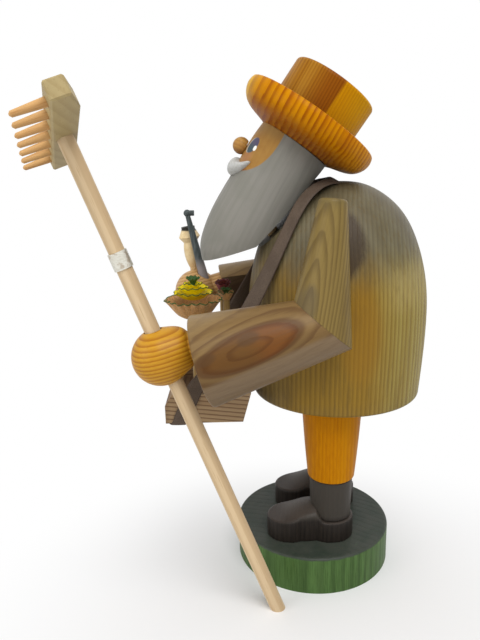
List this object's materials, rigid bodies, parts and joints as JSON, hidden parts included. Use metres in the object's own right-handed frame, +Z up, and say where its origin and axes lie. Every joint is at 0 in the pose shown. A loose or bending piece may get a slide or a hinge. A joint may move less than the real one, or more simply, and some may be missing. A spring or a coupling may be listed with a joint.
{
  "type": "incense smoker figure",
  "caption": "Turned wooden gardener smoker with a bearded head, brimmed hat, mitred arms, peddler's tray of flowers, pipe and sliding rake; its hollow coat lifts off the incense plate.",
  "frame": {"origin": "centre of the base disc's underside", "axes": "+Z up, the figure faces -Y, the figure's left side is +X"},
  "size_m": [0.1468, 0.1566, 0.2139],
  "materials": {
    "base_wood": "dyed satin, green side and dark top",
    "boot_wood": "dark stain",
    "trouser_wood": "orange stain, satin",
    "coat_wood": "olive and grey-brown stain, satin",
    "skin_wood": "natural with painted face, hair and beard",
    "moustache_wood": "painted light grey, glossy",
    "hat_wood": "yellow-brown stain with visible grain",
    "hand_wood": "natural, lacquered",
    "dowel_wood": "plain beech",
    "rake_wood": "plain, unpainted",
    "band_metal": "thin satin sheet",
    "plate_metal": "pressed, satin",
    "tray_wood": "brown stain",
    "strap_leather": "thin smooth band",
    "yellow_petals": "dyed shavings, dark green rims",
    "red_petals": "dyed dark red",
    "stalk_wood": "plain",
    "bowl_wood": "cream paint, dark rim",
    "pipe_stem_wood": "dark grey-green paint"
  },
  "bodies": {
    "stand": {"base_disc": "base_wood", "left_shoe": "boot_wood", "left_boot_cuff": "boot_wood", "left_trouser_leg": "trouser_wood", "left_leg_dowel": "dowel_wood", "right_shoe": "boot_wood", "right_boot_cuff": "boot_wood", "right_trouser_leg": "trouser_wood", "right_leg_dowel": "dowel_wood", "seat_disc": "base_wood", "incense_plate": "plate_metal", "plate_nails": "plate_metal"},
    "figure": {"big_rosette": "yellow_petals", "big_rosette_stem": "stalk_wood", "coat": "coat_wood", "hat_brim": "hat_wood", "hat_crown": "hat_wood", "hat_dowel": "dowel_wood", "head": "skin_wood", "head_dowel": "dowel_wood", "left_elbow_dowel": "dowel_wood", "left_forearm": "coat_wood", "left_hand": "hand_wood", "left_shoulder_dowel": "dowel_wood", "left_upper_arm": "coat_wood", "left_wrist_dowel": "dowel_wood", "moustache": "moustache_wood", "nose": "skin_wood", "pipe_bowl": "bowl_wood", "pipe_stem": "pipe_stem_wood", "red_flower": "red_petals", "red_flower_stem": "stalk_wood", "right_elbow_dowel": "dowel_wood", "right_forearm": "coat_wood", "right_hand": "hand_wood", "right_shoulder_dowel": "dowel_wood", "right_upper_arm": "coat_wood", "right_wrist_dowel": "dowel_wood", "small_rosette": "yellow_petals", "small_rosette_stem": "stalk_wood", "strap": "strap_leather", "tray_back": "tray_wood", "tray_dowel": "dowel_wood", "tray_floor": "tray_wood", "tray_front": "tray_wood", "tray_left_side": "tray_wood", "tray_right_side": "tray_wood"},
    "rake": {"rake_handle": "rake_wood", "rake_bar": "rake_wood", "rake_tooth_1": "rake_wood", "rake_tooth_2": "rake_wood", "rake_tooth_3": "rake_wood", "rake_tooth_4": "rake_wood", "rake_tooth_5": "rake_wood", "rake_tooth_6": "rake_wood", "rake_tooth_7": "rake_wood", "rake_band": "band_metal"}
  },
  "joints": [
    {"name": "upper_lift", "type": "slide", "parent": "stand", "child": "figure", "axis": [0, 0, 1], "range_m": [0, 0.055]},
    {"name": "rake_slide", "type": "slide", "parent": "figure", "child": "rake", "axis": [0.0209, -0.3452, 0.9383], "range_m": [0, 0.09]}
  ]
}
